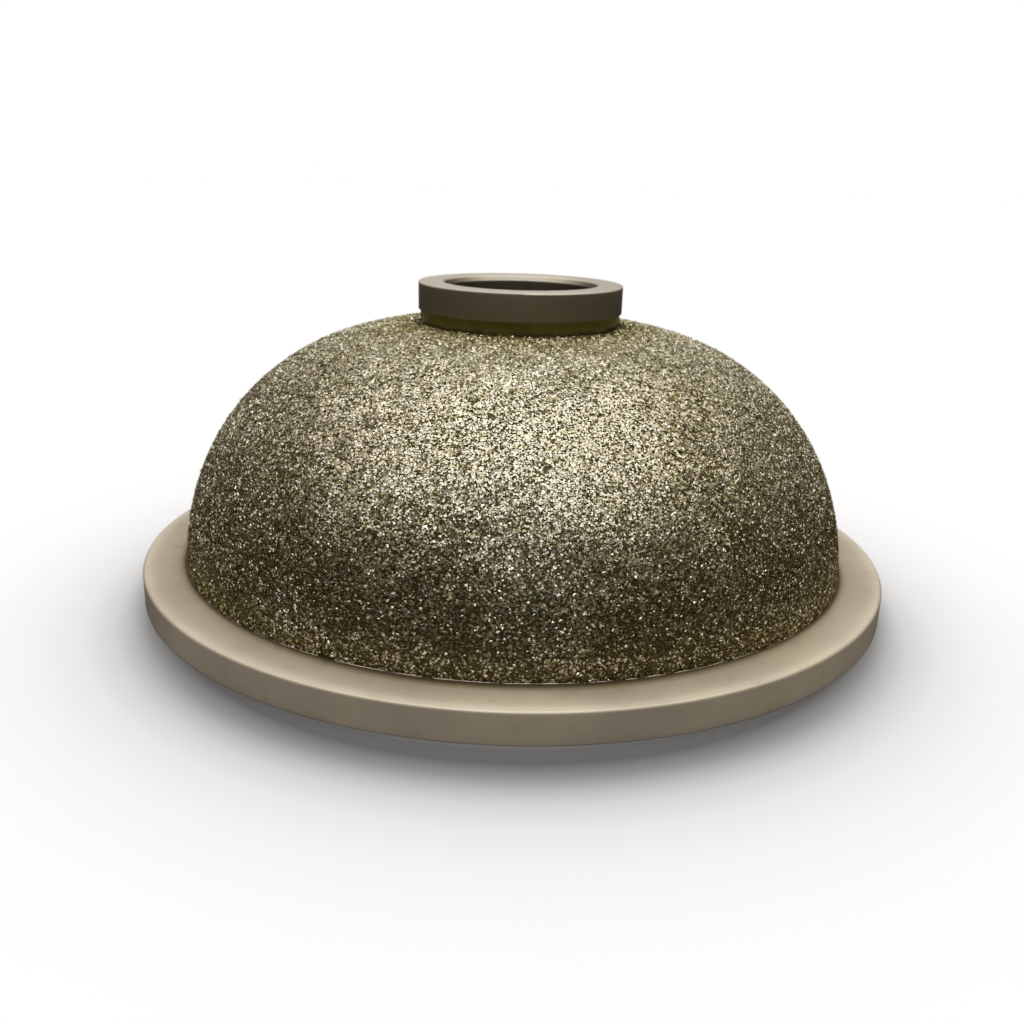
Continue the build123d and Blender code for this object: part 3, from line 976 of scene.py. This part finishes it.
class WHEEL_OT_metal(bpy.types.Operator):
    """Give the flange, the collar and the hidden metal pieces their finishes, with painted shade on
    the collar and the washer
    """

    bl_idname = "wheel.metal"
    bl_label = "Metal finishes"

    def execute(self, context):
        finish = context.scene.wheel_finish
        steel = turned_nickel("hub_steel", (0.48, 0.47, 0.45), 0.32, 0.6, 0.10)
        screws = turned_nickel("screw_steel", (0.40, 0.40, 0.40), 0.30, 0.3, 0.15)
        finishes = {
            "base_flange": turned_nickel("flange_nickel", tuple(finish.flange), 0.40, 0.35, 0.12),
            "neck_collar": collar_finish_and_shade(tuple(finish.collar)),
            "collar_washer": washer_finish_and_shade((0.30, 0.255, 0.12)),
            "dome_core": turned_nickel("core_aluminium", (0.70, 0.70, 0.70), 0.35, 0.8, 0.05),
            "back_plate": turned_nickel("plate_aluminium", (0.66, 0.66, 0.64), 0.38, 0.8, 0.10),
            "bore_sleeve": turned_nickel("sleeve_bronze", (0.33, 0.30, 0.19), 0.40, 0.5, 0.15),
            "rear_hub": steel,
            "lock_ring": steel,
            "dowel_pins": steel,
            "lock_screw": screws,
            "flange_screws": screws,
            "plate_screws": screws,
            "hub_screws": screws,
        }
        for name, material in finishes.items():
            give_finish(name, material)
        return {"FINISHED"}


class WHEEL_OT_seals(bpy.types.Operator):
    """Give the gaskets and the O-ring their rubber"""

    bl_idname = "wheel.seals"
    bl_label = "Seals"

    def execute(self, context):
        black = rubber("seal_rubber")
        for name in ("crown_seal", "plate_gasket", "hub_gasket"):
            give_finish(name, black)
        return {"FINISHED"}


class WHEEL_OT_stage(bpy.types.Operator):
    """Make the pale floor with its painted shadow, the soft studio light and the camera"""

    bl_idname = "wheel.stage"
    bl_label = "Stage"

    def execute(self, context):
        scene = context.scene
        scene.view_settings.view_transform = "Standard"
        make_floor()
        make_light(scene)
        make_camera(scene)
        return {"FINISHED"}


def make_floor():
    """A large round floor with a painted soft shadow round the wheel.

    The wheel's metal reflects it as a dim studio table.
    """
    sides = 96
    turn = np.linspace(0, TAU, sides, endpoint=False)
    points = round_points(np.full(sides, 6.0), 0, turn)
    faces = np.arange(sides)[None, :]
    floor = make_mesh("floor", points, faces, smooth=False)
    material, tree, shader = new_material("floor_pale")
    _, split = object_point(tree)
    # Painted shadow: a dark ring over the distance from a point 11 mm in front of the spin axis, in
    # the floor's colour and in its glow.
    forward = math_node(tree, "ADD", split.outputs["Y"], 11 * MM)
    squares = math_node(tree, "POWER", forward, 2)
    squares = math_node(tree, "ADD", squares, math_node(tree, "POWER", split.outputs["X"], 2))
    radius = math_node(tree, "SQRT", squares)
    soft = [(46.6, 0.20), (47.6, 0.15), (50, 0.135), (53, 0.29), (55.5, 0.50), (58, 0.67)]
    soft += [(62, 0.81), (68, 0.90), (78, 0.965), (96, 1.0)]
    stops = [(place, (0.95 * v, 0.962 * v, 0.995 * v)) for place, v in soft]
    tone = radial_ramp(tree, radius, 100, stops)
    tree.links.new(tone, shader.inputs["Base Color"])
    tree.links.new(tone, shader.inputs["Emission Color"])
    shader.inputs["Emission Strength"].default_value = 0.31
    shader.inputs["Roughness"].default_value = 1
    shader.inputs["Specular IOR Level"].default_value = 0
    path = tree.nodes.new("ShaderNodeLightPath")
    output = next(n for n in tree.nodes if n.type == "OUTPUT_MATERIAL")
    seen = shader.outputs["BSDF"]
    for ray, grey in (("Is Diffuse Ray", 0.34), ("Is Glossy Ray", 0.045)):
        dim = add_node(tree, "ShaderNodeBsdfDiffuse", Color=(grey, grey, grey, 1))
        choose = tree.nodes.new("ShaderNodeMixShader")
        tree.links.new(path.outputs[ray], choose.inputs["Fac"])
        tree.links.new(seen, choose.inputs[1])
        tree.links.new(dim.outputs["BSDF"], choose.inputs[2])
        seen = choose.outputs["Shader"]
    tree.links.new(seen, output.inputs["Surface"])
    floor.data.materials.append(material)


def sky_place(elevation):
    """Where an elevation in degrees lies on the sky's ramps, which run along its sine."""
    return (1 + math.sin(math.radians(elevation))) / 2


def sky_tone(elevation, value):
    """Half the value, warmer the nearer the elevation in degrees is to the horizon."""
    low = max(1 - elevation / 50, 0)
    return (value / 2, value / 2 * (1 - 0.09 * low), value / 2 * (1 - 0.30 * low))


def make_light(scene):
    """A soft sky: dark at the horizon, bright overhead, and a little dimmer behind the wheel.

    The camera sees it as a plain white backdrop.
    """
    world = bpy.data.worlds.new("studio")
    scene.world = world
    world.use_nodes = True
    tree = world.node_tree
    tree.nodes.clear()
    output = tree.nodes.new("ShaderNodeOutputWorld")
    place = tree.nodes.new("ShaderNodeTexCoord").outputs["Generated"]
    split = add_node(tree, "ShaderNodeSeparateXYZ", {"Vector": place})
    height = math_node(tree, "MULTIPLY_ADD", split.outputs["Z"], 0.5, 0.5)
    front = [(0, 0.045), (12, 0.06), (25, 0.125), (36, 0.31), (48, 0.93), (60, 1.7), (70, 1.6)]
    rear = [(0, 0.035), (10, 0.045), (20, 0.085), (30, 0.19), (45, 0.62), (60, 1.15), (70, 1.4)]
    front_tone = ramp(tree, height, [(sky_place(e), sky_tone(e, v)) for e, v in front])
    rear_tone = ramp(tree, height, [(sky_place(e), sky_tone(e, v)) for e, v in rear])
    across = math_node(tree, "MULTIPLY_ADD", split.outputs["X"], 0.5, 0.5)
    tints = [(0.1, (0.82, 0.735, 0.62)), (0.44, (0.97, 0.96, 0.96)), (0.56, (0.97, 0.96, 0.96))]
    warm = ramp(tree, across, [*tints, (0.9, (0.82, 0.74, 0.55))])
    behind = share_between(tree, split.outputs["Y"], 0.1, 0.95)
    behind.node.interpolation_type = "SMOOTHSTEP"
    tone = mix_colour(tree, behind, front_tone, rear_tone)
    tone = mix_colour(tree, 1.0, tone, warm, "MULTIPLY")
    sky = add_node(tree, "ShaderNodeBackground", {"Color": tone}, Strength=2.0)
    backdrop = add_node(tree, "ShaderNodeBackground", Color=(1, 1, 1, 1))
    path = tree.nodes.new("ShaderNodeLightPath")
    choose = tree.nodes.new("ShaderNodeMixShader")
    tree.links.new(path.outputs["Is Camera Ray"], choose.inputs["Fac"])
    tree.links.new(sky.outputs["Background"], choose.inputs[1])
    tree.links.new(backdrop.outputs["Background"], choose.inputs[2])
    tree.links.new(choose.outputs["Shader"], output.inputs["Surface"])


def make_camera(scene):
    """A camera in front of the wheel, a little above it, turned slightly about its own axis."""
    studio = scene.wheel_studio
    camera = bpy.data.objects.new("camera", bpy.data.cameras.new("camera"))
    scene.collection.objects.link(camera)
    aim = Vector((-0.33 * MM, 0, studio.aim_height))
    reach = Vector((0, -math.cos(studio.elevation), math.sin(studio.elevation)))
    camera.location = aim + reach * studio.distance
    look = (-reach).to_track_quat("-Z", "Y")
    camera.rotation_mode = "QUATERNION"
    camera.rotation_quaternion = look @ Quaternion((0, 0, 1), studio.roll)
    camera.data.lens = studio.lens
    camera.data.sensor_width = 36
    camera.data.dof.use_dof = True
    camera.data.dof.focus_distance = studio.distance - 50 * MM
    camera.data.dof.aperture_fstop = 50
    camera.data.clip_start = 0.005
    camera.data.clip_end = 50
    scene.camera = camera


OPERATORS = (
    WHEEL_OT_stage,
    WHEEL_OT_bond,
    WHEEL_OT_plating,
    WHEEL_OT_rim,
    WHEEL_OT_grit,
    WHEEL_OT_metal,
    WHEEL_OT_seals,
)


class WHEEL_PT_sidebar(bpy.types.Panel):
    """Buttons for each piece, in the order they are made."""

    bl_idname = "WHEEL_PT_sidebar"
    bl_label = "Grinding Wheel"
    bl_space_type = "VIEW_3D"
    bl_region_type = "UI"
    bl_category = "Grinding Wheel"

    def draw(self, context):
        for operator in OPERATORS:
            self.layout.operator(operator.bl_idname)
        for group_name in SETTINGS:
            box = self.layout.box()
            group = getattr(context.scene, group_name)
            for key in group.bl_rna.properties.keys():
                if key not in {"rna_type", "name"}:
                    box.prop(group, key)


def register():
    for group_name, group in SETTINGS.items():
        bpy.utils.register_class(group)
        setattr(bpy.types.Scene, group_name, PointerProperty(type=group))
    for operator in OPERATORS:
        bpy.utils.register_class(operator)
    bpy.utils.register_class(WHEEL_PT_sidebar)


def unregister():
    bpy.utils.unregister_class(WHEEL_PT_sidebar)
    for operator in reversed(OPERATORS):
        bpy.utils.unregister_class(operator)
    for group_name, group in SETTINGS.items():
        delattr(bpy.types.Scene, group_name)
        bpy.utils.unregister_class(group)


def main():
    register()
    bpy.ops.wheel.stage()
    bpy.ops.wheel.bond()
    bpy.ops.wheel.plating()
    bpy.ops.wheel.rim()
    bpy.ops.wheel.grit()
    bpy.ops.wheel.metal()
    bpy.ops.wheel.seals()


if __name__ == "__main__":
    main()
